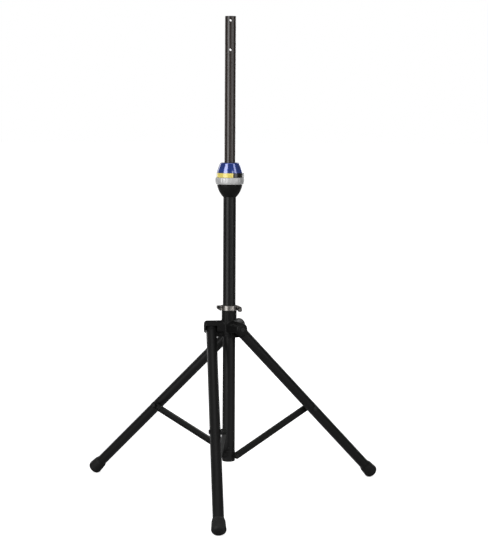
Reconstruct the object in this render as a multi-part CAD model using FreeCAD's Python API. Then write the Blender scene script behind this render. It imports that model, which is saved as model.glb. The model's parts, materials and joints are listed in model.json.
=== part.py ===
"""Tripod stand for a loudspeaker: telescoping pole, twist-lock collar, folding legs on a sliding hub.

Frame: the origin is on the floor under the pole's axis, +Z is up, and the front leg points to -Y. Millimetres.
Each leg works in an upright plane beside the pole. In a leg's own frame, x runs outward in that plane,
z is up, and the leg stands at y = -LEG_OFFSET; turning that frame about Z puts it at the leg's bearing.
"""
import FreeCAD, Part
import math
import os

V = FreeCAD.Vector
ORIGIN = V(0, 0, 0)
X_AXIS = V(1, 0, 0)
Y_AXIS = V(0, 1, 0)
Z_AXIS = V(0, 0, 1)

# ---------------------------------------------------------------- driving dimensions
LEG_BEARINGS = {"front": -90.0, "right": 30.0, "left": 150.0}  # degrees about Z

# pole
UPPER_R = 17.5  # 35 mm pole, the standard cabinet socket size
UPPER_WALL = 2.0
UPPER_TOP_Z = 1529.0
UPPER_LENGTH = 1000.0
CROSS_HOLE_R = 4.25
CROSS_HOLE_DROPS = (13.0, 105.0)  # below the top of the pole
DEPTH_LINE_DROP = 118.0  # shallow turned line that marks the socket depth
DEPTH_LINE_DEPTH = 0.2
DEPTH_LINE_WIDTH = 2.0
MAIN_R = 20.4
MAIN_WALL = 1.8
MAIN_BOTTOM_Z = 140.0
MAIN_TOP_Z = 1012.0

# twist-lock collar
COLLAR_BOTTOM_Z = 959.6
CONE_TOP_Z = 998.0
CONE_TOP_R = 40.5
RING_BOTTOM_Z = 1000.0
RING_TOP_Z = 1021.6
RING_R = 46.0
RING_BORE_R = 38.0
RING_FLUTES = 20
FLUTE_R = 7.0
FLUTE_DEPTH = 0.9
BAND_TOP_Z = 1036.0
BAND_R = 41.7
BAND_BORE_R = 36.0
BAND_SPLIT_BEARING = -78.0
POINTER_BEARING = -5.0
POINTER_SPAN = 40.0
CAP_TOP_Z = 1068.6
CAP_TOP_R = 30.2
SLEEVE_R = 26.0
COLLAR_WALL = 3.5
SCREW_Z = 969.0
COLLET_BORE_R = 17.57
COLLET_R = 21.6
COLLET_SLITS = 6
SEAL_BORE_R = 17.9

# hub and legs
PIVOT_Z = 542.0
LEG_SPREAD = 45.85  # degrees from vertical
LEG_OFFSET = 57.2  # from the pole's axis to the plane of a leg
LEG_R = 17.0
LEG_WALL = 1.6
PLUG_R = 17.4
PLUG_COLLAR = 24.0
PLUG_SPIGOT = 40.0
FOOT_CENTRE_Z = 22.0  # where the boot is widest, on the leg's axis
BOOT_R = 22.8
BOOT_EDGE_R = 13.0  # rounded edge between the boot's side and its end
BOOT_WEAR_FLAT = 0.5  # moulded flat where that edge meets the floor
BOOT_REACH = 31.0  # from the widest part up to the mouth
BOOT_LIP = 6.0
BOOT_LIP_R = 20.6
BOOT_MOUTH_R = 18.6
NECK_R = 24.0
HUB_BOTTOM_Z = 512.0
HUB_RIM_Z = 521.0
HUB_RIM_R = 26.0
NECK_TOP_Z = 612.0
LINER_R = 21.5
SLIDE_GAP = 0.07
ARM_ROOT_R = 22.0  # each arm is a knuckle round a leg's pivot, tapering from the neck
ARM_TIP_R = 21.0
ARM_HALF_WIDTH = 19.5  # to the flat on each side, which leaves a thin wall beside the leg
ARM_END = 81.0
ARM_CORNER_R = 10.0
ARM_FILLET_R = 4.0
WEB_HALF_WIDTH = 13.0
SLOT_HALF_WIDTH = 17.9
PIVOT_BOLT_R = 4.0
PIN_GAP = 0.06

# hub clamp
CLAMP_BOTTOM_Z = 597.0
CLAMP_TOP_Z = 612.0
BAND_STEEL = 2.0
BAND_GAP = 1.0  # half the gap between the two bands' ears
EAR_REACH = 40.5
EAR_ROOT_X = 25.0
THUMB_X = 33.8
THUMB_Z = 598.5
EAR_BOLT_X = -34.0
EAR_BOLT_Z = 606.0
CLAMP_BOLT_R = 2.5
KNOB_R = 7.4
KNOB_LENGTH = 8.0
SCREW_HEAD_R = 5.0

# struts and bottom bracket
STRUT_HINGE_X = 12.0
STRUT_HINGE_Z = 126.0
HUB_TRAVEL = 300.0
STRUT_INNER = 23.2  # distances from the pole's axis to the strut's two sides
STRUT_OUTER = 34.0
STRUT_HALF_HEIGHT = 10.0
STRUT_SHEET = 1.6
STRUT_BOSS_R = 7.0
BRACKET_R = 20.9
BRACKET_BOTTOM_Z = 105.6
PAD_FACE = 22.9

# lift-assist gas spring inside the pole
GAS_R = 11.0
GAS_WALL = 1.5
GAS_BOTTOM_Z = 545.0
GAS_TOP_Z = 1405.0
ROD_R = 5.0
PISTON_BOTTOM_Z = 985.0
PISTON_TOP_Z = 1003.0

# ---------------------------------------------------------------- worked out from them
SPREAD = math.radians(LEG_SPREAD)
UPPER_BOTTOM_Z = UPPER_TOP_Z - UPPER_LENGTH
UPPER_BORE_R = UPPER_R - UPPER_WALL
MAIN_BORE_R = MAIN_R - MAIN_WALL
BUSH_R = MAIN_BORE_R - SLIDE_GAP
FOOT_REACH = (PIVOT_Z - FOOT_CENTRE_Z) / math.cos(SPREAD)
EDGE_CENTRE_R = BOOT_R - BOOT_EDGE_R
EDGE_CENTRE_DROP = (
    FOOT_CENTRE_Z + BOOT_WEAR_FLAT - BOOT_EDGE_R - EDGE_CENTRE_R * math.sin(SPREAD)
) / math.cos(SPREAD)
# the strut joins the leg where the linkage closes both with the legs spread and with them folded
HINGE_DROP = PIVOT_Z - STRUT_HINGE_Z
STRUT_PIN_REACH = ((HINGE_DROP + HUB_TRAVEL) ** 2 - HINGE_DROP ** 2) / (
    2 * (HINGE_DROP + HUB_TRAVEL - STRUT_HINGE_X * math.sin(SPREAD) - HINGE_DROP * math.cos(SPREAD))
)
STRUT_PIN_X = STRUT_PIN_REACH * math.sin(SPREAD)
STRUT_PIN_Z = PIVOT_Z - STRUT_PIN_REACH * math.cos(SPREAD)
STRUT_LENGTH = math.hypot(STRUT_PIN_X - STRUT_HINGE_X, STRUT_PIN_Z - STRUT_HINGE_Z)
STRUT_ANGLE = math.degrees(math.atan2(STRUT_PIN_Z - STRUT_HINGE_Z, STRUT_PIN_X - STRUT_HINGE_X))


# ---------------------------------------------------------------- helpers
def upright(radius, low, high):
    """Solid cylinder about the pole's axis."""
    return Part.makeCylinder(radius, high - low, V(0, 0, low))


def tube(radius, bore, low, high):
    return upright(radius, low, high).cut(upright(bore, low - 1, high + 1))


def box(low, high):
    return Part.makeBox(high[0] - low[0], high[1] - low[1], high[2] - low[2], V(*low))


def cross(radius, near, far, x, z):
    """Cylinder across a leg's plane: near and far are distances from the pole's axis, at x and height z."""
    return Part.makeCylinder(radius, far - near, V(x, -near, z), V(0, -1, 0))


def along_y(radius, y_from, y_to, x, z):
    return Part.makeCylinder(radius, y_to - y_from, V(x, y_from, z), Y_AXIS)


def revolved(edges):
    """Revolve a closed outline in the XZ plane about the pole's axis."""
    return Part.Face(Part.Wire(edges)).revolve(ORIGIN, Z_AXIS, 360)


def outline(*points):
    """Edges of a closed outline from (radius, height) points. A third entry makes that stretch an arc via it."""
    edges = []
    for here, there in zip(points, points[1:] + points[:1]):
        start = V(here[0], 0, here[1])
        end = V(there[0], 0, there[1])
        if len(here) == 3:
            via = V(here[2][0], 0, here[2][1])
            edges.append(Part.Arc(start, via, end).toShape())
        else:
            edges.append(Part.LineSegment(start, end).toShape())
    return edges


def around(shape, count, start=0.0):
    """Copies of a shape, evenly turned about the pole's axis."""
    return [shape.rotated(ORIGIN, Z_AXIS, start + 360.0 * i / count) for i in range(count)]


def radial_pins(radius, inner, outer, z, count, start=0.0):
    """Pins that point at the pole's axis, such as rivets in a tube's wall."""
    pin = Part.makeCylinder(radius, outer - inner, V(inner, 0, z), X_AXIS)
    return around(pin, count, start)


def at_each_leg(shape):
    return [shape.rotated(ORIGIN, Z_AXIS, bearing) for bearing in LEG_BEARINGS.values()]


def sector(outer, inner, low, high, start, span):
    """Part of a ring between two bearings, in degrees."""
    ring = Part.makeCylinder(outer, high - low, V(0, 0, low), Z_AXIS, span)
    bore = upright(inner, low - 1, high + 1)
    return ring.cut(bore).rotated(ORIGIN, Z_AXIS, start)


def stadium(radius, length, near, far):
    """Bar with round ends along +x from the origin, between two distances from the pole's axis."""
    bar = box((0, -far, -radius), (length, -near, radius))
    ends = [cross(radius, near, far, x, 0) for x in (0, length)]
    return bar.multiFuse(ends).removeSplitter()


def save(name, shapes):
    """Write one named node. A list is a group of separate solids."""
    shape = Part.makeCompound(shapes) if isinstance(shapes, list) else shapes
    shape.exportStep(f"parts/{name}.step")


# ---------------------------------------------------------------- pole
def gas_plug_rivets():
    """Rivets that hold the gas spring's top plug in the upper tube, flush with its outside."""
    return radial_pins(2.0, UPPER_BORE_R - 3, UPPER_R - 0.05, GAS_TOP_Z, 2)


def collar_screws():
    """Grub screws through the collar's base, each biting a dimple in the main tube."""
    return radial_pins(2.5, MAIN_R - 1.2, SLEEVE_R, SCREW_Z, 3, 90)


def upper_pole():
    """Upper tube, its end cap, its guide bush and the bush's rivets."""
    bush_low = UPPER_BOTTOM_Z
    bush_high = bush_low + 30
    cap_low = UPPER_TOP_Z - 7.5
    holes = [
        along_y(CROSS_HOLE_R, -UPPER_R - 1, UPPER_R + 1, 0, UPPER_TOP_Z - drop) for drop in CROSS_HOLE_DROPS
    ]
    line_top = UPPER_TOP_Z - DEPTH_LINE_DROP
    line = tube(UPPER_R + 1, UPPER_R - DEPTH_LINE_DEPTH, line_top - DEPTH_LINE_WIDTH, line_top)
    rivets = radial_pins(2.0, UPPER_BORE_R - 0.6, BUSH_R - 0.3, bush_low + 15, 2, 90)
    plug_rivets = gas_plug_rivets()
    pipe = tube(UPPER_R, UPPER_BORE_R, UPPER_BOTTOM_Z, UPPER_TOP_Z)
    save("upper_tube", pipe.cut(holes + [line] + rivets + plug_rivets))
    save("guide_bush", tube(BUSH_R, UPPER_R, bush_low, bush_high).cut(rivets))
    save("bush_rivets", rivets)
    cap = upright(UPPER_BORE_R, cap_low, UPPER_TOP_Z - 0.5)
    save("top_cap", cap.cut(upright(UPPER_BORE_R - 2, cap_low - 1, UPPER_TOP_Z - 3)))


def gas_spring():
    """Cylinder in the upper tube; rod and piston that stand on the bottom bracket."""
    bore = GAS_R - GAS_WALL
    closed_top = upright(bore, GAS_TOP_Z - 3, GAS_TOP_Z)
    save("gas_cylinder", tube(GAS_R, bore, GAS_BOTTOM_Z, GAS_TOP_Z).fuse(closed_top).removeSplitter())
    save("gas_gland", tube(bore, ROD_R + SLIDE_GAP, GAS_BOTTOM_Z, GAS_BOTTOM_Z + 15))
    save("gas_lower_spacer", tube(UPPER_BORE_R, GAS_R + SLIDE_GAP, GAS_BOTTOM_Z + 20, GAS_BOTTOM_Z + 34))
    plug_low = GAS_TOP_Z - 9
    plug_high = GAS_TOP_Z + 8
    rivets = gas_plug_rivets()
    plug = upright(UPPER_BORE_R, plug_low, plug_high)
    plug = plug.cut(upright(GAS_R + SLIDE_GAP, plug_low - 1, GAS_TOP_Z + 0.4))
    save("gas_top_plug", plug.cut(rivets))
    save("gas_plug_rivets", rivets)
    rod = upright(ROD_R, STRUT_HINGE_Z, PISTON_TOP_Z)
    save("gas_rod", rod)
    save("gas_piston", tube(bore - SLIDE_GAP, ROD_R, PISTON_BOTTOM_Z, PISTON_TOP_Z))
    flats = Part.makePolygon([V(8 * math.cos(a), 8 * math.sin(a), 160) for a in
                              [math.radians(60 * i) for i in range(7)]])
    nut = Part.Face(flats).extrude(V(0, 0, 6)).cut(upright(ROD_R, 159, 167))
    save("gas_rod_nut", nut)


def main_pole():
    """Main tube and the bottom bracket that carries the struts."""
    rivets = radial_pins(2.4, MAIN_BORE_R - 4, MAIN_R + 0.9, MAIN_BOTTOM_Z + 11, 3, 30)
    pipe = tube(MAIN_R, MAIN_BORE_R, MAIN_BOTTOM_Z, MAIN_TOP_Z)
    save("main_tube", pipe.cut(rivets + collar_screws()))
    save("bracket_rivets", rivets)
    body = upright(BRACKET_R, BRACKET_BOTTOM_Z, MAIN_BOTTOM_Z)
    body = body.makeChamfer(2.0, [e for e in body.Edges if e.BoundBox.ZMax < BRACKET_BOTTOM_Z + 1])
    spigot = upright(MAIN_BORE_R, MAIN_BOTTOM_Z, MAIN_BOTTOM_Z + 20)
    pad = cross(STRUT_HALF_HEIGHT - 0.5, 5, PAD_FACE, STRUT_HINGE_X, STRUT_HINGE_Z)
    bolt = cross(PIVOT_BOLT_R, 10, STRUT_OUTER + 0.3, STRUT_HINGE_X, STRUT_HINGE_Z)
    head = cross(6.0, STRUT_OUTER + 0.3, STRUT_OUTER + 2.6, STRUT_HINGE_X, STRUT_HINGE_Z)
    bolts = at_each_leg(bolt.fuse(head).removeSplitter())
    rod_socket = upright(ROD_R, STRUT_HINGE_Z, MAIN_BOTTOM_Z + 21)
    bracket = body.multiFuse([spigot] + at_each_leg(pad)).removeSplitter()
    save("strut_bracket", bracket.cut(bolts + rivets + [rod_socket]))
    save("strut_hinge_bolts", bolts)


# ---------------------------------------------------------------- collar
def collar():
    """Twist-lock collar: base, fluted ring, index band and cap, with the collet inside."""
    screws = collar_screws()
    cone = revolved(outline(
        (MAIN_R, COLLAR_BOTTOM_Z),
        (MAIN_R + 0.8, COLLAR_BOTTOM_Z, (34.0, 978.2)),
        (CONE_TOP_R, CONE_TOP_Z),
        (CONE_TOP_R - COLLAR_WALL, CONE_TOP_Z),
        (SLEEVE_R + 3, 978.0),
        (SLEEVE_R, 978.0),
        (SLEEVE_R, BAND_TOP_Z),
        (COLLET_R + 0.2, BAND_TOP_Z),
        (COLLET_R + 0.2, MAIN_TOP_Z),
        (MAIN_R, MAIN_TOP_Z),
    ))
    wells = radial_pins(2.5, SLEEVE_R - 1, 45.0, SCREW_Z, 3, 90)
    save("collar_base", cone.cut(screws + wells))
    save("collar_screws", screws)

    ring = revolved(outline(
        (RING_BORE_R, RING_BOTTOM_Z),
        (RING_R - 2.6, RING_BOTTOM_Z),
        (RING_R - 0.6, RING_BOTTOM_Z + 6, (RING_R, RING_BOTTOM_Z + 13)),
        (RING_R - 0.6, RING_TOP_Z - 1),
        (RING_R - 1.6, RING_TOP_Z),
        (RING_BORE_R, RING_TOP_Z),
    ))
    flute = Part.makeCylinder(FLUTE_R, 60, V(RING_R + FLUTE_R - FLUTE_DEPTH, 0, RING_BOTTOM_Z - 20))
    save("grip_ring", ring.cut(around(flute, RING_FLUTES)))
    save("cam_ring", tube(RING_BORE_R, SLEEVE_R + 0.4, RING_BOTTOM_Z + 1, RING_TOP_Z - 1))
    pointer = sector(
        RING_R - 0.1, BAND_R + 0.4, RING_TOP_Z, BAND_TOP_Z - 0.6, POINTER_BEARING - POINTER_SPAN / 2, POINTER_SPAN
    )
    save("lock_pointer", pointer)

    low = RING_TOP_Z + 0.4
    halves = {"index_band_black": BAND_SPLIT_BEARING, "index_band_yellow": BAND_SPLIT_BEARING + 180}
    for name, start in halves.items():
        save(name, sector(BAND_R, BAND_BORE_R, low, BAND_TOP_Z, start, 180))

    lip = CAP_TOP_Z - 8
    cap = revolved(outline(
        (SLEEVE_R - 2, BAND_TOP_Z),
        (SLEEVE_R, BAND_TOP_Z),
        (SLEEVE_R, lip - 2),
        (CAP_TOP_R - 2, lip - 2),
        (BAND_R - COLLAR_WALL, BAND_TOP_Z),
        (BAND_R, BAND_TOP_Z, (37.3, 1050.4)),
        (CAP_TOP_R + 1.4, CAP_TOP_Z - 4, (CAP_TOP_R - 0.1, CAP_TOP_Z - 1.4)),
        (CAP_TOP_R - 3, CAP_TOP_Z),
        (COLLET_R, CAP_TOP_Z),
        (COLLET_R, lip),
        (SLEEVE_R - 2, lip - 3),
    ))
    save("collar_cap", cap)
    save("wiper_seal", tube(COLLET_R, SEAL_BORE_R, lip, CAP_TOP_Z - 1))
    collet = tube(COLLET_R, COLLET_BORE_R, MAIN_TOP_Z, lip - 4)
    slit = box((0, -0.8, MAIN_TOP_Z + 14), (COLLET_R + 1, 0.8, lip))
    save("collet", collet.cut(around(slit, COLLET_SLITS, 15)))


# ---------------------------------------------------------------- hub
def leg_slot():
    """Room in an arm for a leg's plug, open underneath from hanging straight down to fully spread."""
    near = LEG_OFFSET - SLOT_HALF_WIDTH
    far = LEG_OFFSET + SLOT_HALF_WIDTH
    room = cross(SLOT_HALF_WIDTH, near, far, 0, PIVOT_Z)
    reach = 60.0
    outward = V(math.sin(SPREAD), 0, -math.cos(SPREAD)) * reach
    across = V(math.cos(SPREAD), 0, math.sin(SPREAD)) * SLOT_HALF_WIDTH
    corners = [
        V(-SLOT_HALF_WIDTH, 0, 0), V(-SLOT_HALF_WIDTH, 0, -reach), V(SLOT_HALF_WIDTH, 0, -reach),
        outward - across, outward + across, across, V(-SLOT_HALF_WIDTH, 0, 0),
    ]
    fan = Part.Face(Part.makePolygon(corners)).extrude(V(0, near - far, 0))
    return room.fuse(fan.translated(V(0, -near, PIVOT_Z)))


def hub():
    """Sliding leg housing with three hooded arms, its liner and the leg pivot bolts."""
    root = 10.0  # the arms start inside the neck
    knuckle = Part.makeCone(ARM_ROOT_R, ARM_TIP_R, ARM_END - root, V(0, -root, PIVOT_Z), V(0, -1, 0))
    end_edge = [e for e in knuckle.Edges if abs(e.BoundBox.YMax + ARM_END) < 0.01]
    knuckle = knuckle.makeFillet(ARM_CORNER_R, end_edge).common(box(
        (-ARM_HALF_WIDTH, -ARM_END - 1, PIVOT_Z - ARM_ROOT_R), (ARM_HALF_WIDTH, 0, PIVOT_Z + ARM_ROOT_R)
    ))
    web = box(
        (-WEB_HALF_WIDTH, SLOT_HALF_WIDTH - LEG_OFFSET, HUB_BOTTOM_Z), (WEB_HALF_WIDTH, -root, PIVOT_Z)
    )
    bolt = cross(PIVOT_BOLT_R, 29, ARM_END - 3.4, 0, PIVOT_Z)
    bolt_head = cross(6.6, ARM_END - 3.4, ARM_END - 0.2, 0, PIVOT_Z)
    hex_socket = cross(2.4, ARM_END - 2.4, ARM_END + 1, 0, PIVOT_Z)
    head_well = cross(7.2, ARM_END - 3.4, ARM_END + 1, 0, PIVOT_Z)

    neck = upright(NECK_R, HUB_BOTTOM_Z, NECK_TOP_Z)
    rim = upright(HUB_RIM_R, HUB_BOTTOM_Z, HUB_RIM_Z)
    rim = rim.makeChamfer(1.6, [e for e in rim.Edges if e.Length > 10 and e.BoundBox.ZLength < 0.1])
    core = neck.multiFuse(at_each_leg(knuckle)).removeSplitter()
    # the upper seams, where the arms' tops meet the neck's wall
    seams = [
        e for e in core.Edges
        if PIVOT_Z < e.BoundBox.ZMin and e.BoundBox.ZMax < PIVOT_Z + ARM_ROOT_R
        and all(abs(math.hypot(p.x, p.y) - NECK_R) < 0.05 for p in e.discretize(9))
    ]
    core = core.makeFillet(ARM_FILLET_R, seams)
    body = core.multiFuse([rim] + at_each_leg(web)).removeSplitter()
    bore = upright(LINER_R, HUB_BOTTOM_Z - 1, NECK_TOP_Z + 1)
    neck_slit = box((-NECK_R - 1, -1.2, CLAMP_BOTTOM_Z - 10), (NECK_R + 1, 1.2, NECK_TOP_Z + 1))
    body = body.cut([bore, neck_slit] + at_each_leg(leg_slot()) + at_each_leg(bolt) + at_each_leg(head_well))
    save("leg_housing", body)
    save("housing_liner", tube(LINER_R, MAIN_R + SLIDE_GAP, HUB_BOTTOM_Z, NECK_TOP_Z))
    save("leg_pivot_bolts", at_each_leg(bolt.fuse(bolt_head).cut(hex_socket).removeSplitter()))


def ear(*corners):
    """Flat steel ear behind the clamp's parting plane, from its (x, z) corners."""
    points = [V(x, BAND_GAP, z) for x, z in corners + corners[:1]]
    return Part.Face(Part.makePolygon(points)).extrude(V(0, BAND_STEEL, 0))


def hub_clamp():
    """Two steel half bands round the neck, a bolt through their left ears and a thumb screw on the right."""
    ring = tube(NECK_R + BAND_STEEL, NECK_R, CLAMP_BOTTOM_Z, CLAMP_TOP_Z)
    left_ear = ear(
        (-EAR_ROOT_X, CLAMP_BOTTOM_Z), (-EAR_ROOT_X - 3, CLAMP_BOTTOM_Z - 2.5), (-EAR_REACH + 2, 601),
        (-EAR_REACH, 603.5), (-EAR_REACH, 610.5), (-EAR_REACH + 1, 611.5), (-EAR_ROOT_X, CLAMP_TOP_Z),
    )
    right_ear = ear(
        (EAR_ROOT_X, CLAMP_BOTTOM_Z), (EAR_ROOT_X + 4, 591.5), (EAR_REACH - 1, 591.5), (EAR_REACH, 592.5),
        (EAR_REACH, 604), (EAR_REACH - 2, 606.5), (EAR_ROOT_X + 3, 611.5), (EAR_ROOT_X, CLAMP_TOP_Z),
    )
    bolt_hole = along_y(CLAMP_BOLT_R, -20, 20, EAR_BOLT_X, EAR_BOLT_Z)
    screw_hole = along_y(CLAMP_BOLT_R, -20, 20, THUMB_X, THUMB_Z)
    rear_space = box((-50, BAND_GAP, CLAMP_BOTTOM_Z - 10), (50, 50, CLAMP_TOP_Z + 1))
    rear = ring.common(rear_space).multiFuse([left_ear, right_ear]).removeSplitter()
    rear = rear.cut([bolt_hole, screw_hole, upright(NECK_R, CLAMP_BOTTOM_Z - 10, CLAMP_TOP_Z + 1)])
    save("clamp_band_rear", rear)
    save("clamp_band_front", rear.mirror(ORIGIN, Y_AXIS))

    face = BAND_GAP + BAND_STEEL
    bolt = along_y(CLAMP_BOLT_R, -face, face + 4, EAR_BOLT_X, EAR_BOLT_Z)
    head = along_y(4.4, -face - 3, -face, EAR_BOLT_X, EAR_BOLT_Z)
    save("clamp_ear_bolt", bolt.fuse(head).removeSplitter())
    nuts = []
    for x, z, radius in (
        (EAR_BOLT_X, EAR_BOLT_Z, CLAMP_BOLT_R),
        (THUMB_X, THUMB_Z, CLAMP_BOLT_R + PIN_GAP),
    ):
        turns = [math.radians(60 * i) for i in range(7)]
        corners = [V(x + 4.6 * math.cos(turn), face, z + 4.6 * math.sin(turn)) for turn in turns]
        nut = Part.Face(Part.makePolygon(corners)).extrude(V(0, 3.6, 0))
        nuts.append(nut.cut(along_y(radius, face - 1, face + 5, x, z)))
    save("clamp_nuts", nuts)


def clamp_screw():
    """Thumb screw in the clamp's right ears: a steel screw moulded into a ribbed plastic knob."""
    face = BAND_GAP + BAND_STEEL + 0.3
    knob_face = face + KNOB_LENGTH
    shank = along_y(CLAMP_BOLT_R, -knob_face, face + 5.7, THUMB_X, THUMB_Z)
    head = along_y(SCREW_HEAD_R, -knob_face - 1.6, -knob_face + 1.2, THUMB_X, THUMB_Z)
    screw = head.fuse(shank).removeSplitter()
    save("thumb_screw", screw)
    save("thumb_knob", along_y(KNOB_R, -knob_face, -face, THUMB_X, THUMB_Z).cut(screw))


# ---------------------------------------------------------------- legs and struts
def into_leg(shape):
    """Take a piece built straight down from the leg's pivot to its place in the leg's own frame."""
    return shape.rotated(ORIGIN, Y_AXIS, -LEG_SPREAD).translated(V(0, -LEG_OFFSET, PIVOT_Z))


def leg_pieces():
    """Tube, hinge plug, strut bolt and rubber boot of a leg, hanging straight down from its pivot."""
    tube_top = -PLUG_COLLAR
    tube_end = -FOOT_REACH - 4
    bolt_hole = Part.makeCylinder(PIVOT_BOLT_R, 60, V(0, -30, -STRUT_PIN_REACH), Y_AXIS)
    pipe = tube(LEG_R, LEG_R - LEG_WALL, tube_end, tube_top).cut(bolt_hole)

    collar_part = upright(PLUG_R, tube_top, PLUG_R)
    round_end = Part.makeCylinder(PLUG_R, 60, V(0, -30, 0), Y_AXIS)
    below = box((-30, -30, tube_top), (30, 30, 0))
    spigot = upright(LEG_R - LEG_WALL, tube_top - PLUG_SPIGOT, tube_top)
    pivot_hole = Part.makeCylinder(PIVOT_BOLT_R + PIN_GAP, 60, V(0, -30, 0), Y_AXIS)
    plug = collar_part.common(round_end.fuse(below)).fuse(spigot).removeSplitter().cut(pivot_hole)

    shank = Part.makeCylinder(PIVOT_BOLT_R, 2 * LEG_R - 0.1, V(0, LEG_R - 0.1, -STRUT_PIN_REACH), V(0, -1, 0))
    head = Part.makeCylinder(7.0, 3.6, V(0, -LEG_R + 0.5, -STRUT_PIN_REACH), V(0, -1, 0))
    head = head.cut(upright(LEG_R, -STRUT_PIN_REACH - 20, -STRUT_PIN_REACH + 20))
    bolt = shank.fuse(head).removeSplitter()
    return {"leg_tube": pipe, "leg_plug": plug, "strut_bolt": bolt, "foot": boot()}


def boot():
    """Flared rubber boot with a flat end, from its mouth down to the floor."""
    mouth = BOOT_REACH - FOOT_REACH
    lip = mouth - BOOT_LIP
    edge_z = -FOOT_REACH - EDGE_CENTRE_DROP
    # the flare is the straight line from the lip that just touches the rounded edge
    rise = lip - edge_z
    run = BOOT_LIP_R - EDGE_CENTRE_R
    bearing = math.atan2(run, rise) + math.acos(BOOT_EDGE_R / math.hypot(rise, run))
    touch_r = EDGE_CENTRE_R + BOOT_EDGE_R * math.sin(bearing)
    touch_z = edge_z + BOOT_EDGE_R * math.cos(bearing)
    side = math.radians(-45)
    via = (EDGE_CENTRE_R + BOOT_EDGE_R * math.cos(side), edge_z + BOOT_EDGE_R * math.sin(side))
    end_z = edge_z - BOOT_EDGE_R
    shell = revolved(outline(
        (0, mouth),
        (BOOT_MOUTH_R, mouth),
        (BOOT_LIP_R, lip),
        (touch_r, touch_z, via),
        (EDGE_CENTRE_R, end_z),
        (0, end_z),
    ))
    return shell.cut(upright(LEG_R, -FOOT_REACH - 4, mouth + 1))


def legs():
    floor = box((-800, -800, -100), (800, 800, 0))
    for name, shape in leg_pieces().items():
        placed = into_leg(shape)
        if name == "foot":
            placed = placed.cut(floor)
        for leg, bearing in LEG_BEARINGS.items():
            save(f"{name}_{leg}", placed.rotated(ORIGIN, Z_AXIS, bearing))


def struts():
    """Pressed steel struts, open towards the pole, with a bush at the leg end."""
    plate = STRUT_OUTER - STRUT_SHEET
    shell = stadium(STRUT_HALF_HEIGHT, STRUT_LENGTH, STRUT_INNER, STRUT_OUTER)
    hollow = stadium(STRUT_HALF_HEIGHT - STRUT_SHEET, STRUT_LENGTH, STRUT_INNER - 1, plate)
    bosses = [cross(STRUT_BOSS_R, STRUT_INNER, STRUT_OUTER, x, 0) for x in (0, STRUT_LENGTH)]
    hinge_hole = cross(PIVOT_BOLT_R + PIN_GAP, 0, 60, 0, 0)
    pin = cross(PIVOT_BOLT_R, STRUT_INNER - 1.8, STRUT_OUTER, STRUT_LENGTH, 0)
    pin_head = cross(6.5, STRUT_INNER - 1.8, STRUT_INNER, STRUT_LENGTH, 0)
    spacer = cross(9.5, STRUT_OUTER, LEG_OFFSET - LEG_R - 0.4, STRUT_LENGTH, 0)
    bush = pin.multiFuse([pin_head, spacer]).removeSplitter()
    bar = shell.cut(hollow).multiFuse(bosses).removeSplitter().cut([hinge_hole, pin])
    for name, shape in {"strut": bar, "strut_bush": bush}.items():
        placed = shape.rotated(ORIGIN, Y_AXIS, -STRUT_ANGLE).translated(V(STRUT_HINGE_X, 0, STRUT_HINGE_Z))
        for leg, bearing in LEG_BEARINGS.items():
            save(f"{name}_{leg}", placed.rotated(ORIGIN, Z_AXIS, bearing))


# ---------------------------------------------------------------- run
os.makedirs("parts", exist_ok=True)
upper_pole()
gas_spring()
main_pole()
collar()
hub()
hub_clamp()
clamp_screw()
legs()
struts()
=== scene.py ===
import json
import math

import bmesh
import bpy
from mathutils import Matrix, Vector


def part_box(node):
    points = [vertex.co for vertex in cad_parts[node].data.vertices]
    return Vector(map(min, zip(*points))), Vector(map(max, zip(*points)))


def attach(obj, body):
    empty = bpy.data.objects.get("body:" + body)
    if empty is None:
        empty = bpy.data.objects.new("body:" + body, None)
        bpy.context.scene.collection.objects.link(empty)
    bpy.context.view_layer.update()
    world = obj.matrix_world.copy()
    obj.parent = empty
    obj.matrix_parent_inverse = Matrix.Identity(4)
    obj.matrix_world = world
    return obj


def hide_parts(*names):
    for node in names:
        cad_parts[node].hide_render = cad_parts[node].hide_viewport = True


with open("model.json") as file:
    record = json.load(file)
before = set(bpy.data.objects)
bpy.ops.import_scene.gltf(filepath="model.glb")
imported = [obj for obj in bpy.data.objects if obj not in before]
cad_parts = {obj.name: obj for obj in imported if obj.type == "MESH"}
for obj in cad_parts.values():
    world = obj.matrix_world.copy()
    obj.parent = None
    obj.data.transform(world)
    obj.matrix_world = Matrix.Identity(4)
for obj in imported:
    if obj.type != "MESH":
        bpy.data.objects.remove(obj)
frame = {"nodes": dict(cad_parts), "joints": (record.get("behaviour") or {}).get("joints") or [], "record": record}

# Tripod speaker stand: finishes, refined meshes, studio and camera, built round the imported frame.
# The camera, the studio and the finishes are in metres. The sizes of the pieces are in millimetres.

MM = 0.001
NODES = frame["nodes"]
JOINTS = {joint["name"]: joint for joint in frame["joints"]}
SLOT_OF = {part["node"]: part["material_slot"] for part in frame["record"]["subparts"]}
BODIES = frame["record"]["behaviour"]["bodies"]
BODY_OF = {node: body for body, nodes in BODIES.items() for node in nodes}
LEG_BEARINGS = {"front": -90.0, "right": 30.0, "left": 150.0}  # degrees about the pole
LEG_SPREAD = math.radians(45.85)
Z_AXIS = Vector((0, 0, 1))

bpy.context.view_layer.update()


# ---------------------------------------------------------------- camera
CAMERA_DISTANCE = 5.1388  # along the floor, from the pole's axis
CAMERA_HEIGHT = 1.2245
CAMERA_BEARING = -3.193  # degrees about the pole, from -Y and positive towards +X
CAMERA_PITCH = -5.719
CAMERA_YAW = 0.523  # degrees to the right of the pole
CAMERA_ROLL = 0.330
FIELD_OF_VIEW = 19.341  # degrees, over the frame's height
CLIP_END = 200


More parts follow.
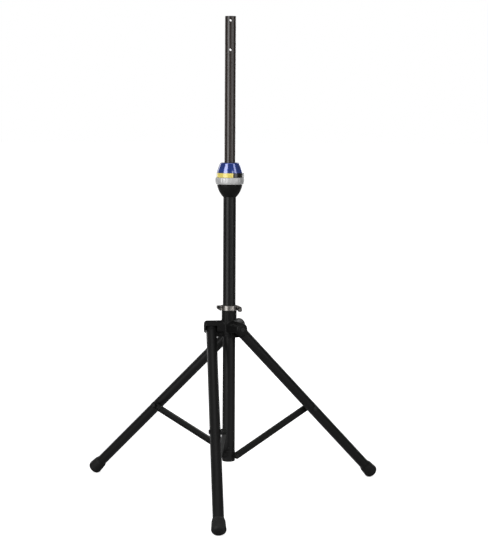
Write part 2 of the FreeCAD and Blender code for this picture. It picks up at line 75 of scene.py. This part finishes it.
def add_camera():
    data = bpy.data.cameras.new("camera")
    data.sensor_fit = "VERTICAL"
    data.angle = math.radians(FIELD_OF_VIEW)
    data.clip_end = CLIP_END
    camera = bpy.data.objects.new("camera", data)
    bearing = math.radians(CAMERA_BEARING)
    place = Vector((math.sin(bearing), -math.cos(bearing), 0)) * CAMERA_DISTANCE
    place.z = CAMERA_HEIGHT
    heading = Matrix.Rotation(math.radians(CAMERA_BEARING - CAMERA_YAW), 3, "Z")
    tilt = Matrix.Rotation(math.radians(90 + CAMERA_PITCH), 3, "X")
    roll = Matrix.Rotation(math.radians(CAMERA_ROLL), 3, "Z")
    camera.matrix_world = Matrix.Translation(place) @ (heading @ tilt @ roll).to_4x4()
    bpy.context.scene.collection.objects.link(camera)
    bpy.context.scene.camera = camera


# ---------------------------------------------------------------- studio
FRONT = math.radians(CAMERA_BEARING)  # the side the camera is on
FLOOR_HALF = 60.0
FLOOR_LIT = 0.8  # out to here the floor shows the lamps' light and shadows
FLOOR_WHITE = 2.4  # from here on it is plain white
FLOOR_GLOW_NEAR = 0.72
FLOOR_GLOW_FAR = 1.0
FLOOR_COLOUR = 0.94
FLOOR_ROUGHNESS = 0.85
FLOOR_BOUNCE = 0.52
WORLD_LIGHT = 0.10
WORLD_WHITE = 1.0

# Each lamp's bearing from the camera's side in degrees, distance from the pole, height, (width, height) of its
# face, watts, and the height on the pole that it faces
SOFTBOXES = {
    "softbox_left": (-42, 3.6, 2.3, (2.2, 4.4), 112, 2.3),
    "softbox_right": (26, 3.8, 1.7, (1.0, 3.2), 19, 1.7),
    "softbox_side": (55, 3.6, 2.3, (1.3, 4.4), 41, 2.3),
    "softbox_back": (152, 4.2, 2.3, (1.6, 4.4), 55, 2.3),
    "softbox_back_left": (-140, 4.2, 2.3, (1.2, 4.4), 30, 2.3),
    "softbox_top": (0, 0.3, 4.8, (3.0, 3.0), 22, 0.0),
}


def add_softbox(name, bearing, distance, height, size, power, aim_height):
    """Rectangular area light at a bearing from the camera's side, in degrees, facing the pole.

    The camera doesn't see it directly."""
    data = bpy.data.lights.new(name, "AREA")
    data.shape = "RECTANGLE"
    data.size, data.size_y = size
    data.energy = power
    light = bpy.data.objects.new(name, data)
    light.visible_camera = False
    turn = FRONT + math.radians(bearing)
    light.location = (distance * math.sin(turn), -distance * math.cos(turn), height)
    toward = Vector((0, 0, aim_height)) - light.location
    light.rotation_euler = toward.to_track_quat("-Z", "Y").to_euler()
    bpy.context.scene.collection.objects.link(light)


def split_by_ray(tree, lighting, seen, output):
    """What the camera sees of a surface, and what lights the object, are two shaders."""
    path = tree.nodes.new("ShaderNodeLightPath")
    choose = tree.nodes.new("ShaderNodeMixShader")
    tree.links.new(path.outputs["Is Camera Ray"], choose.inputs["Fac"])
    tree.links.new(lighting, choose.inputs[1])
    tree.links.new(seen, choose.inputs[2])
    tree.links.new(choose.outputs["Shader"], output.inputs["Surface"])


def grey(value):
    return (value, value, value)


def floor_material():
    """White floor that shows shadows near the stand and is plain white further out."""
    material = bpy.data.materials.new("studio_floor")
    material.use_nodes = True
    tree = material.node_tree
    seen = tree.nodes["Principled BSDF"]
    seen.inputs["Base Color"].default_value = (*grey(FLOOR_COLOUR), 1)
    seen.inputs["Roughness"].default_value = FLOOR_ROUGHNESS
    seen.inputs["Specular IOR Level"].default_value = 0.0
    seen.inputs["Emission Color"].default_value = (1, 1, 1, 1)
    place = tree.nodes.new("ShaderNodeTexCoord")
    reach = tree.nodes.new("ShaderNodeVectorMath")
    reach.operation = "LENGTH"
    glow = tree.nodes.new("ShaderNodeMapRange")
    glow.interpolation_type = "SMOOTHSTEP"
    glow.inputs["From Min"].default_value = FLOOR_LIT
    glow.inputs["From Max"].default_value = FLOOR_WHITE
    glow.inputs["To Min"].default_value = FLOOR_GLOW_NEAR
    glow.inputs["To Max"].default_value = FLOOR_GLOW_FAR
    tree.links.new(place.outputs["Object"], reach.inputs[0])
    tree.links.new(reach.outputs["Value"], glow.inputs["Value"])
    tree.links.new(glow.outputs["Result"], seen.inputs["Emission Strength"])
    bounce = tree.nodes.new("ShaderNodeBsdfDiffuse")
    bounce.inputs["Color"].default_value = (*grey(FLOOR_BOUNCE), 1)
    split_by_ray(tree, bounce.outputs["BSDF"], seen.outputs["BSDF"], tree.nodes["Material Output"])
    return material


def add_studio():
    mesh = bpy.data.meshes.new("studio_floor")
    corners = [(x, y, 0) for x, y in ((-1, -1), (1, -1), (1, 1), (-1, 1))]
    mesh.from_pydata([Vector(c) * FLOOR_HALF for c in corners], [], [(0, 1, 2, 3)])
    mesh.materials.append(floor_material())
    floor = bpy.data.objects.new("studio_floor", mesh)
    bpy.context.scene.collection.objects.link(floor)

    for name, setting in SOFTBOXES.items():
        add_softbox(name, *setting)

    world = bpy.data.worlds.new("studio")
    world.use_nodes = True
    tree = world.node_tree
    lighting = tree.nodes["Background"]
    lighting.inputs["Color"].default_value = (1, 1, 1, 1)
    lighting.inputs["Strength"].default_value = WORLD_LIGHT
    seen = tree.nodes.new("ShaderNodeBackground")
    seen.inputs["Color"].default_value = (1, 1, 1, 1)
    seen.inputs["Strength"].default_value = WORLD_WHITE
    split_by_ray(tree, lighting.outputs[0], seen.outputs[0], tree.nodes["World Output"])
    bpy.context.scene.world = world
    bpy.context.scene.view_settings.view_transform = "Standard"


# ---------------------------------------------------------------- materials
class Finish:
    """One procedural material. Each step adds nodes, and the shader's own sockets hold the fixed numbers."""

    def __init__(self, name, **fixed):
        self.material = bpy.data.materials.new(name)
        self.material.use_nodes = True
        self.tree = self.material.node_tree
        self.shader = self.tree.nodes["Principled BSDF"]
        for socket, value in fixed.items():
            self.shader.inputs[socket.replace("_", " ")].default_value = value
        self.normal = None
        self.coordinates = self.node("ShaderNodeTexCoord").outputs["Object"]

    def node(self, kind, **inputs):
        made = self.tree.nodes.new(kind)
        for socket, value in inputs.items():
            self.feed(made.inputs[socket.replace("_", " ")], value)
        return made

    def feed(self, socket, value):
        if isinstance(value, bpy.types.NodeSocket):
            self.tree.links.new(value, socket)
        else:
            socket.default_value = value

    def noise(self, size, detail, stretch=(1, 1, 1)):
        """Noise with features about size across, in metres, drawn out by stretch along the piece's axes."""
        scale = [1 / (size * s) for s in stretch]
        placed = self.node("ShaderNodeMapping", Vector=self.coordinates)
        placed.inputs["Scale"].default_value = scale
        made = self.node("ShaderNodeTexNoise", Vector=placed.outputs["Vector"])
        made.inputs["Scale"].default_value = 1.0
        made.inputs["Detail"].default_value = detail
        return made.outputs["Fac"]

    def spread(self, value, low, high, from_low=0.3, from_high=0.7):
        """Map from_low..from_high, which is a noise's usual range unless given, on to low..high."""
        made = self.node(
            "ShaderNodeMapRange", Value=value, From_Min=from_low, From_Max=from_high, To_Min=low, To_Max=high
        )
        return made.outputs["Result"]

    def mix(self, share, first, second):
        """Mix two colours. A Mix node's colour sockets have no names of their own, only numbers."""
        made = self.node("ShaderNodeMix")
        made.data_type = "RGBA"
        for index, value in ((0, share), (6, first), (7, second)):
            self.feed(made.inputs[index], value)
        return made.outputs[2]

    def multiply(self, first, second):
        made = self.node("ShaderNodeMath")
        made.operation = "MULTIPLY"
        made.use_clamp = True
        self.feed(made.inputs[0], first)
        self.feed(made.inputs[1], second)
        return made.outputs[0]

    def colour(self, dark, light, size, stretch=(1, 1, 1)):
        """Base colour that drifts between two values."""
        drift = self.spread(self.noise(size, 5.0, stretch), low=0, high=1)
        self.base = self.mix(drift, (*dark, 1), (*light, 1))
        self.feed(self.shader.inputs["Base Color"], self.base)

    def gloss(self, low, high, size, stretch=(1, 1, 1)):
        """Roughness that varies over the surface."""
        rough = self.spread(self.noise(size, 6.0, stretch), low, high)
        self.feed(self.shader.inputs["Roughness"], rough)

    def bump(self, size, depth, stretch=(1, 1, 1), detail=3.0):
        """Raised grain of about size across and depth high, in metres."""
        made = self.node("ShaderNodeBump", Height=self.noise(size, detail, stretch))
        made.inputs["Distance"].default_value = depth
        if self.normal:
            self.feed(made.inputs["Normal"], self.normal)
        self.normal = made.outputs["Normal"]
        self.feed(self.shader.inputs["Normal"], self.normal)

    def edge_share(self, reach, patch):
        """How worn a point is: up to 1 on sharp edges within reach, broken up by noise of size patch."""
        softened = self.node("ShaderNodeBevel", Radius=reach)
        softened.samples = 4
        flat = self.node("ShaderNodeNewGeometry").outputs["Normal"]
        product = self.node("ShaderNodeVectorMath")
        product.operation = "DOT_PRODUCT"
        self.feed(product.inputs[0], softened.outputs["Normal"])
        self.feed(product.inputs[1], flat)
        sharp = self.spread(product.outputs["Value"], low=1, high=0, from_low=0.82, from_high=0.985)
        broken = self.spread(self.noise(patch, 6.0), low=0, high=1, from_low=0.42, from_high=0.62)
        return self.multiply(sharp, broken)

    def worn_edges(self, bare, reach, patch, amount):
        """Paint or anodising rubbed through to a bare colour along edges."""
        share = self.multiply(self.edge_share(reach, patch), amount)
        self.base = self.mix(share, self.base, (*bare, 1))
        self.feed(self.shader.inputs["Base Color"], self.base)

    def dust(self, tint, amount, size):
        """Pale dust that settles on what faces up."""
        normal = self.node("ShaderNodeNewGeometry").outputs["Normal"]
        up = self.node("ShaderNodeSeparateXYZ", Vector=normal)
        facing = self.spread(up.outputs["Z"], low=0, high=1, from_low=0.3, from_high=1.0)
        patchy = self.spread(self.noise(size, 6.0), low=0.2, high=1, from_low=0.4, from_high=0.65)
        share = self.multiply(self.multiply(facing, patchy), amount)
        self.base = self.mix(share, self.base, (*tint, 1))
        self.feed(self.shader.inputs["Base Color"], self.base)


BARE_ALUMINIUM = (0.45, 0.44, 0.42)
RUBBED_BLACK = (0.060, 0.058, 0.055)
DUST = (0.22, 0.21, 0.19)


def drawn_tube(name, dark, light, rough, coat, specular):
    """Anodised or powder-coated tube, with faint lines along its length and rubbed edges."""
    finish = Finish(name, Coat_Weight=coat, Coat_Roughness=0.18, Specular_IOR_Level=specular)
    finish.colour(dark, light, size=0.09, stretch=(1, 1, 6))
    finish.gloss(*rough, size=0.012, stretch=(1, 1, 12))
    finish.bump(size=0.0011, depth=0.000012, stretch=(1, 1, 40), detail=2.0)
    finish.bump(size=0.0016, depth=0.000010)
    finish.worn_edges(BARE_ALUMINIUM, reach=0.0006, patch=0.004, amount=0.55)
    return finish.material


def moulded(name, dark, light, rough, grain, depth, dusty=0.0, specular=0.3):
    """Moulded nylon or rubber, or black-painted steel, with a fine grain."""
    finish = Finish(name, Specular_IOR_Level=specular)
    finish.colour(dark, light, size=0.03)
    finish.gloss(*rough, size=0.01)
    finish.bump(size=grain, depth=depth, detail=5.0)
    finish.worn_edges(RUBBED_BLACK, reach=0.0008, patch=0.006, amount=0.5)
    if dusty:
        finish.dust(DUST, amount=dusty, size=0.02)
    return finish.material


def brushed(name, dark, light, rough, stretch, depth, metallic=1.0):
    """Bare metal, or plastic painted like it, with a brushed or cast surface."""
    finish = Finish(name, Metallic=metallic)
    finish.colour(dark, light, size=0.02)
    finish.gloss(*rough, size=0.004, stretch=stretch)
    finish.bump(size=0.0008, depth=depth, stretch=stretch, detail=4.0)
    return finish.material


def glossy(name, dark, light, metallic, roughness, coat, coat_index=1.5):
    """Gloss paint or moulded gloss plastic with a clear top layer and very light orange peel."""
    finish = Finish(name, Metallic=metallic, Coat_Weight=coat, Coat_Roughness=0.05, Coat_IOR=coat_index)
    finish.colour(dark, light, size=0.012)
    finish.gloss(roughness * 0.8, roughness * 1.25, size=0.006)
    finish.bump(size=0.0025, depth=0.000008)
    finish.worn_edges(light, reach=0.0005, patch=0.004, amount=0.35)
    return finish.material


BRUSHED_ROUND = (8, 8, 0.6)  # lines that run round the piece and are fine along its Z

FINISHES = {
    "pole_bronze_black": (drawn_tube, dict(
        dark=(0.018, 0.0125, 0.0105), light=(0.028, 0.019, 0.015), rough=(0.25, 0.33), coat=0.2, specular=0.55
    )),
    "tube_black": (drawn_tube, dict(
        dark=grey(0.0045), light=grey(0.0075), rough=(0.34, 0.44), coat=0.05, specular=0.26
    )),
    "strut_black": (drawn_tube, dict(
        dark=(0.006, 0.0066, 0.0056), light=(0.009, 0.010, 0.0085), rough=(0.38, 0.5), coat=0.0, specular=0.22
    )),
    "nylon_black": (moulded, dict(
        dark=grey(0.0036), light=grey(0.0056), rough=(0.42, 0.56), grain=0.0009, depth=0.00003, specular=0.19
    )),
    "casting_black": (moulded, dict(
        dark=grey(0.0055), light=grey(0.0085), rough=(0.42, 0.56), grain=0.0016, depth=0.00004
    )),
    "rubber_black": (moulded, dict(
        dark=grey(0.0045), light=grey(0.0075), rough=(0.5, 0.68), grain=0.0007, depth=0.00003, dusty=0.07
    )),
    "cap_blue": (glossy, dict(
        dark=(0.016, 0.046, 0.28), light=(0.024, 0.068, 0.38), metallic=0.35, roughness=0.18, coat=1.0,
        coat_index=2.0
    )),
    "band_yellow": (glossy, dict(
        dark=(0.86, 0.70, 0.15), light=(0.94, 0.79, 0.20), metallic=0.0, roughness=0.25, coat=0.6
    )),
    "band_black": (glossy, dict(
        dark=(0.010, 0.009, 0.007), light=(0.014, 0.013, 0.010), metallic=0.0, roughness=0.25, coat=0.5
    )),
    "ring_silver": (brushed, dict(
        dark=grey(0.56), light=grey(0.66), rough=(0.44, 0.54), stretch=(1, 1, 1), depth=0.00001, metallic=0.45
    )),
    "nylon_natural": (moulded, dict(
        dark=(0.58, 0.56, 0.48), light=(0.66, 0.64, 0.56), rough=(0.4, 0.5), grain=0.001, depth=0.00002
    )),
    "steel_plain": (brushed, dict(
        dark=(0.30, 0.28, 0.265), light=(0.38, 0.36, 0.34), rough=(0.24, 0.38), stretch=BRUSHED_ROUND,
        depth=0.00002
    )),
    "steel_black": (moulded, dict(
        dark=grey(0.012), light=grey(0.020), rough=(0.3, 0.42), grain=0.0006, depth=0.00001
    )),
    "rivet_black": (moulded, dict(
        dark=grey(0.012), light=grey(0.018), rough=(0.3, 0.42), grain=0.0006, depth=0.00001
    )),
    "rod_chrome": (brushed, dict(
        dark=grey(0.70), light=grey(0.78), rough=(0.06, 0.12), stretch=BRUSHED_ROUND, depth=0.000004
    )),
    "knob_plastic": (moulded, dict(
        dark=grey(0.010), light=grey(0.015), rough=(0.45, 0.6), grain=0.0008, depth=0.00002
    )),
}
MATERIALS = {name: make(name, **looks) for name, (make, looks) in FINISHES.items()}


def dress(piece, slot):
    """Give a piece the finish of a record slot."""
    piece.data.materials.clear()
    piece.data.materials.append(MATERIALS[slot])


# ---------------------------------------------------------------- mesh helpers
SHARP_EDGE = math.radians(35)
FLAT_WITHIN = math.radians(0.3)  # facets that meet at less than this are one flat face
SAME_POINT = 0.001
ON_AXIS = 1e-6
SIDE_SHARE = 0.49  # the most of a side that one rounded corner takes up
CORNER_STEPS = 5
ROUND_FACETS = 96
SNUG = 0.05  # room between two pieces that fit round each other

# How far the sharp edges of each node are rounded off, in millimetres, and in how many segments
EDGES = {
    "upper_tube": (0.4, 2),
    "main_tube": (0.4, 2),
    "top_cap": (0.4, 2),
    "lock_pointer": (0.7, 3),
    "index_band_yellow": (0.35, 3),
    "index_band_black": (0.35, 3),
    "collar_cap": (0.5, 3),
    "collar_base": (0.5, 3),
    "leg_housing": (0.6, 3),
    "clamp_band_front": (0.45, 2),
    "clamp_band_rear": (0.45, 2),
    "clamp_nuts": (0.35, 2),
    "clamp_ear_bolt": (0.5, 2),
    "thumb_screw": (0.4, 2),
    "leg_plug": (0.7, 3),
    "strut_bolt": (0.8, 3),
    "strut": (0.5, 3),
    "strut_bush": (0.5, 2),
    "strut_bracket": (0.5, 2),
    "strut_hinge_bolts": (0.6, 3),
    "leg_pivot_bolts": (0.4, 2),
}


def finish_piece(work, name, node, place=None):
    """Turn a bmesh into a smooth-shaded piece that stands in for a CAD node, with its body and slot."""
    bmesh.ops.recalc_face_normals(work, faces=work.faces)
    for face in work.faces:
        face.smooth = True
    mesh = bpy.data.meshes.new(name)
    work.to_mesh(mesh)
    work.free()
    piece = bpy.data.objects.new(name, mesh)
    if place:
        piece.matrix_world = place
    bpy.context.scene.collection.objects.link(piece)
    piece.modifiers.new("flat faces stay flat", "WEIGHTED_NORMAL")
    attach(piece, BODY_OF[node])
    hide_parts(node)
    dress(piece, SLOT_OF[node])


def copied(node):
    """A CAD node's mesh with its faces joined up and its flat faces whole."""
    work = bmesh.new()
    work.from_mesh(NODES[node].data)
    bmesh.ops.remove_doubles(work, verts=work.verts, dist=SAME_POINT * MM)
    bmesh.ops.dissolve_limit(
        work, angle_limit=FLAT_WITHIN, verts=work.verts, edges=work.edges, use_dissolve_boundaries=False
    )
    return work


def refined(kind, leg=None, place=None):
    """A copy of a CAD node with its sharp edges rounded off, modelled in the frame that place gives.

    A piece that every leg has is named by its kind and its leg."""
    node = f"{kind}_{leg}" if leg else kind
    width, segments = EDGES[kind]
    work = copied(node)
    if place:
        work.transform(place.inverted())
        work.normal_update()
    edges = [e for e in work.edges if e.is_manifold and e.calc_face_angle(0) > SHARP_EDGE]
    bmesh.ops.bevel(
        work, geom=edges, offset=width * MM, segments=segments, profile=0.5, affect="EDGES",
        clamp_overlap=False,
    )
    finish_piece(work, node + "_rounded", node, place)


def rounded(*corners):
    """Points of an outline of (radius, height, corner radius) corners, each corner rounded."""
    points = []
    for index, (radius, height, fillet) in enumerate(corners):
        corner = Vector((radius, height))
        if fillet == 0 or index in (0, len(corners) - 1):
            points.append(corner)
            continue
        before = Vector(corners[index - 1][:2]) - corner
        after = Vector(corners[index + 1][:2]) - corner
        start = corner + before.normalized() * min(fillet, before.length * SIDE_SHARE)
        end = corner + after.normalized() * min(fillet, after.length * SIDE_SHARE)
        for step in range(CORNER_STEPS + 1):
            share = step / CORNER_STEPS
            points.append(start * (1 - share) ** 2 + corner * 2 * share * (1 - share) + end * share ** 2)
    return points


def turned(work, outline, count, closed=False, shape=None):
    """Turn an outline about Z. It starts and ends on the axis, unless closed into a ring.

    shape(radius, turn) may change a point's radius at each turn, for flutes and ribs."""
    rings = []
    for radius, height in outline:
        if radius < ON_AXIS:
            rings.append([work.verts.new((0, 0, height * MM))])
            continue
        ring = []
        for index in range(count):
            turn = 2 * math.pi * index / count
            reach = (shape(radius, turn) if shape else radius) * MM
            ring.append(work.verts.new((reach * math.cos(turn), reach * math.sin(turn), height * MM)))
        rings.append(ring)
    pairs = list(zip(rings, rings[1:] + rings[:1])) if closed else list(zip(rings, rings[1:]))
    for low, high in pairs:
        for index in range(count):
            after = (index + 1) % count
            corners = [
                low[index % len(low)], low[after % len(low)],
                high[after % len(high)], high[index % len(high)],
            ]
            work.faces.new(list(dict.fromkeys(corners)))


def aimed(centre, axis):
    """Frame at a point with its Z along an axis."""
    return Matrix.Translation(centre) @ Vector(axis).to_track_quat("Z", "Y").to_matrix().to_4x4()


def leg_frame(leg):
    """Frame at a leg's pivot with its Z up along the spread leg and its X square to it, outward."""
    bearing = math.radians(LEG_BEARINGS[leg])
    outward = Vector((math.cos(bearing), math.sin(bearing), 0))
    up_leg = Z_AXIS * math.cos(LEG_SPREAD) - outward * math.sin(LEG_SPREAD)
    square = outward * math.cos(LEG_SPREAD) + Z_AXIS * math.sin(LEG_SPREAD)
    turn = Matrix((square, up_leg.cross(square), up_leg)).transposed()
    return Matrix.Translation(JOINTS["leg_hinge_" + leg]["pos_m"]) @ turn.to_4x4()


# ---------------------------------------------------------------- pole
COLLET_GRIP_R = 17.6  # what lies within this is the collet's gripping face
COLLET_OPEN_R = 17.75


def build_pole():
    for node in ("upper_tube", "main_tube", "top_cap"):
        refined(node)


def build_collet():
    """The slit collet, eased open so that the pole slides through it."""
    work = copied("collet")
    for vertex in work.verts:
        if vertex.co.xy.length < COLLET_GRIP_R * MM:
            vertex.co.xy = vertex.co.xy.normalized() * COLLET_OPEN_R * MM
    finish_piece(work, "collet_eased", "collet")


# ---------------------------------------------------------------- collar
RING_LOW = 1000.0
RING_HIGH = 1021.6
RING_R = 46.0
RING_BORE_R = 38.0
FLUTED_WALL = 4.0  # only what is this near the ring's outside is fluted
FLUTES = 20
FLUTE_R = 7.0
FLUTE_DEPTH = 0.9
FLUTE_BLEND = 0.5
FACETS_PER_FLUTE = 20


def soft_min(first, second, blend):
    """The smaller of two numbers, with a rounded change-over."""
    share = max(blend - abs(first - second), 0) / blend
    return min(first, second) - share * share * blend / 4


def fluted(radius, turn):
    """Outer wall of the grip ring at one turn: hollow flutes with soft lands between them."""
    if radius < RING_R - FLUTED_WALL:
        return radius
    pitch = 2 * math.pi / FLUTES
    off_centre = (turn + pitch / 2) % pitch - pitch / 2
    centre = RING_R + FLUTE_R - FLUTE_DEPTH
    side = min(abs(centre * math.sin(off_centre)), FLUTE_R)
    flute = centre * math.cos(off_centre) - math.sqrt(FLUTE_R ** 2 - side ** 2)
    return soft_min(radius, flute, FLUTE_BLEND)


def build_collar():
    ring = bmesh.new()
    outline = rounded(
        (RING_BORE_R, RING_LOW + 3, 0),
        (RING_BORE_R, RING_LOW, 0.8),
        (RING_R - 3.0, RING_LOW, 1.6),
        (RING_R - 1.0, RING_LOW + 5, 3),
        (RING_R, RING_LOW + 11, 3),
        (RING_R - 0.3, RING_HIGH - 2.5, 1.5),
        (RING_R - 1.6, RING_HIGH, 0.9),
        (RING_BORE_R, RING_HIGH, 0.8),
        (RING_BORE_R, RING_HIGH - 3, 0),
    )
    turned(ring, outline, FLUTES * FACETS_PER_FLUTE, closed=True, shape=fluted)
    finish_piece(ring, "grip_ring_fluted", "grip_ring")
    for node in ("lock_pointer", "index_band_yellow", "index_band_black", "collar_cap", "collar_base"):
        refined(node)


# ---------------------------------------------------------------- hub and clamp
KNOB_R = 7.4
KNOB_BORE_R = 2.5
KNOB_LENGTH = 8.0
KNOB_BACK = 4.7  # from the screw's joint point out to the knob's inner face, back towards the clamp
KNOB_RIBS = 18
RIBBED_WALL = 0.8  # only what is this near the knob's outside is ribbed
RIB_DEPTH = 0.45
RIB_FLATNESS = 0.6
FACETS_PER_RIB = 10
SCREW_HEAD_R = 5.0
SCREW_HEAD_SEAT = 1.2  # depth that the screw's head is sunk into the knob


def ribbed(radius, turn):
    """Outer wall of the knob at one turn, with ribs round it."""
    if radius < KNOB_R - RIBBED_WALL:
        return radius
    return radius - RIB_DEPTH * (0.5 - 0.5 * math.cos(KNOB_RIBS * turn)) ** RIB_FLATNESS


def build_knob():
    knob = bmesh.new()
    low = -KNOB_BACK
    high = KNOB_LENGTH - KNOB_BACK
    outline = rounded(
        (KNOB_BORE_R, low + 1, 0),
        (KNOB_BORE_R, low, 0),
        (KNOB_R - 0.6, low, 0.5),
        (KNOB_R, low + 1.2, 0.5),
        (KNOB_R, high - 1.4, 0.8),
        (KNOB_R - 1.2, high, 0.6),
        (SCREW_HEAD_R + SNUG, high, 0.2),
        (SCREW_HEAD_R + SNUG, high - SCREW_HEAD_SEAT, 0),
        (KNOB_BORE_R, high - SCREW_HEAD_SEAT, 0),
    )
    turned(knob, outline, KNOB_RIBS * FACETS_PER_RIB, closed=True, shape=ribbed)
    place = aimed(JOINTS["clamp_screw_turn"]["pos_m"], (0, -1, 0))
    finish_piece(knob, "thumb_knob_ribbed", "thumb_knob", place)


def build_hub():
    for node in ("leg_housing", "clamp_band_front", "clamp_band_rear", "clamp_nuts", "clamp_ear_bolt"):
        refined(node)
    build_knob()
    refined("thumb_screw")


# ---------------------------------------------------------------- legs
LEG_R = 17.0
LEG_BORE_R = 15.4
PLUG_COLLAR = 24.0  # from the leg's pivot down to the tube's upper end
FOOT_HEIGHT = 22.0  # of the boot's datum above the floor, which the boot's own heights are measured from
TUBE_END = 4.0  # how far the tube runs past the datum
BOOT_MOUTH = 31.0
BOOT_R = 22.8
BOOT_EDGE_R = 13.0
BOOT_EDGE_DROP = 3.55
BOOT_EDGE_START = 4.0  # degrees above level, where the flare runs into the rounded edge
BOOT_EDGE_END = -90.0
BOOT_EDGE_STEPS = 12
SOLE_GROOVE = 0.8


def boot_outline():
    """Moulded boot: beaded mouth, two shallow grooves, straight flare, rounded edge, ringed sole."""
    bore_r = LEG_R + SNUG
    edge_r = BOOT_R - BOOT_EDGE_R
    sole = -BOOT_EDGE_DROP - BOOT_EDGE_R
    groove = sole + SOLE_GROOVE
    inside = [Vector((0, -TUBE_END)), Vector((bore_r, -TUBE_END))]
    mouth_and_bead = (
        (bore_r, 24, 0), (bore_r, BOOT_MOUTH, 0.3), (18.5, BOOT_MOUTH, 0.5),
        (19.2, 29.2, 0.7), (18.9, 27.4, 0.5), (20.5, 25.1, 0.8),
    )
    upper_groove = ((20.75, 21.5, 0.3), (20.3, 21.0, 0.3), (20.4, 20.0, 0.3), (21.0, 19.5, 0.3))
    lower_groove = ((21.25, 16.5, 0.3), (20.8, 16.0, 0.3), (20.8, 15.0, 0.3), (21.4, 14.5, 0.3))
    flare = ((22.4, 1, 0), (22.5, 0, 0))
    arc = []
    for step in range(BOOT_EDGE_STEPS + 1):
        share = step / BOOT_EDGE_STEPS
        turn = math.radians(BOOT_EDGE_START + (BOOT_EDGE_END - BOOT_EDGE_START) * share)
        arc.append(Vector((
            edge_r + BOOT_EDGE_R * math.cos(turn), BOOT_EDGE_R * math.sin(turn) - BOOT_EDGE_DROP
        )))
    outer_ring = ((edge_r - 1.2, sole, 0), (edge_r - 1.6, sole, 0.2), (edge_r - 2.0, groove, 0.2))
    inner_ring = ((edge_r - 3.2, groove, 0.2), (edge_r - 3.6, sole, 0.2), (3.6, sole, 0.2), (3.2, groove, 0.2))
    upper = rounded(*mouth_and_bead, *upper_groove, *lower_groove, *flare)
    under = rounded(*outer_ring, *inner_ring, (0, groove, 0))
    return inside + upper + arc + under


def build_leg_tube(leg, pivot, low, high):
    """Plain tube with eased ends. Its outline starts and ends a little way into the bore."""
    pipe = bmesh.new()
    outline = rounded(
        (LEG_BORE_R, low + 5, 0),
        (LEG_BORE_R, low, 0.2),
        (LEG_R, low, 0.4),
        (LEG_R, high, 0.4),
        (LEG_BORE_R, high, 0.2),
        (LEG_BORE_R, high - 5, 0),
    )
    turned(pipe, outline, ROUND_FACETS, closed=True)
    finish_piece(pipe, "leg_tube_drawn_" + leg, "leg_tube_" + leg, pivot)


def build_boot(leg, place):
    """The boot is modelled where it stands, and the floor cuts its lowest edge flat."""
    boot = bmesh.new()
    turned(boot, boot_outline(), ROUND_FACETS)
    boot.transform(place)
    cut = bmesh.ops.bisect_plane(
        boot, geom=boot.verts[:] + boot.edges[:] + boot.faces[:],
        plane_co=(0, 0, 0), plane_no=(0, 0, -1), clear_outer=True,
    )
    rim = [part for part in cut["geom_cut"] if isinstance(part, bmesh.types.BMEdge)]
    bmesh.ops.holes_fill(boot, edges=rim)
    finish_piece(boot, "foot_moulded_" + leg, "foot_" + leg)


def build_leg(leg):
    pivot = leg_frame(leg)
    height = JOINTS["leg_hinge_" + leg]["pos_m"][2] / MM
    reach = (height - FOOT_HEIGHT) / math.cos(LEG_SPREAD)
    build_leg_tube(leg, pivot, -reach - TUBE_END, -PLUG_COLLAR)
    build_boot(leg, pivot @ Matrix.Translation((0, 0, -reach * MM)))
    refined("leg_plug", leg, pivot)
    refined("strut_bolt", leg, pivot)


# ---------------------------------------------------------------- struts and bracket
def strut_frame(leg):
    """Frame at a strut's hinge with its X along the hinge's axis and its Z along the strut."""
    hinge = Vector(JOINTS["strut_hinge_" + leg]["pos_m"])
    across = Vector(JOINTS["strut_hinge_" + leg]["axis"])
    low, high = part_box("strut_bush_" + leg)
    along = (low + high) / 2 - hinge
    along = (along - across * along.dot(across)).normalized()
    turn = Matrix((across, along.cross(across), along)).transposed()
    return Matrix.Translation(hinge) @ turn.to_4x4()


def build_struts():
    for leg in LEG_BEARINGS:
        place = strut_frame(leg)
        refined("strut", leg, place)
        refined("strut_bush", leg, place)
    for node in ("strut_bracket", "strut_hinge_bolts", "leg_pivot_bolts"):
        refined(node)


# ---------------------------------------------------------------- run
add_camera()
add_studio()
for node, thing in NODES.items():
    dress(thing, SLOT_OF[node])
build_pole()
build_collet()
build_collar()
build_hub()
for leg in LEG_BEARINGS:
    build_leg(leg)
build_struts()
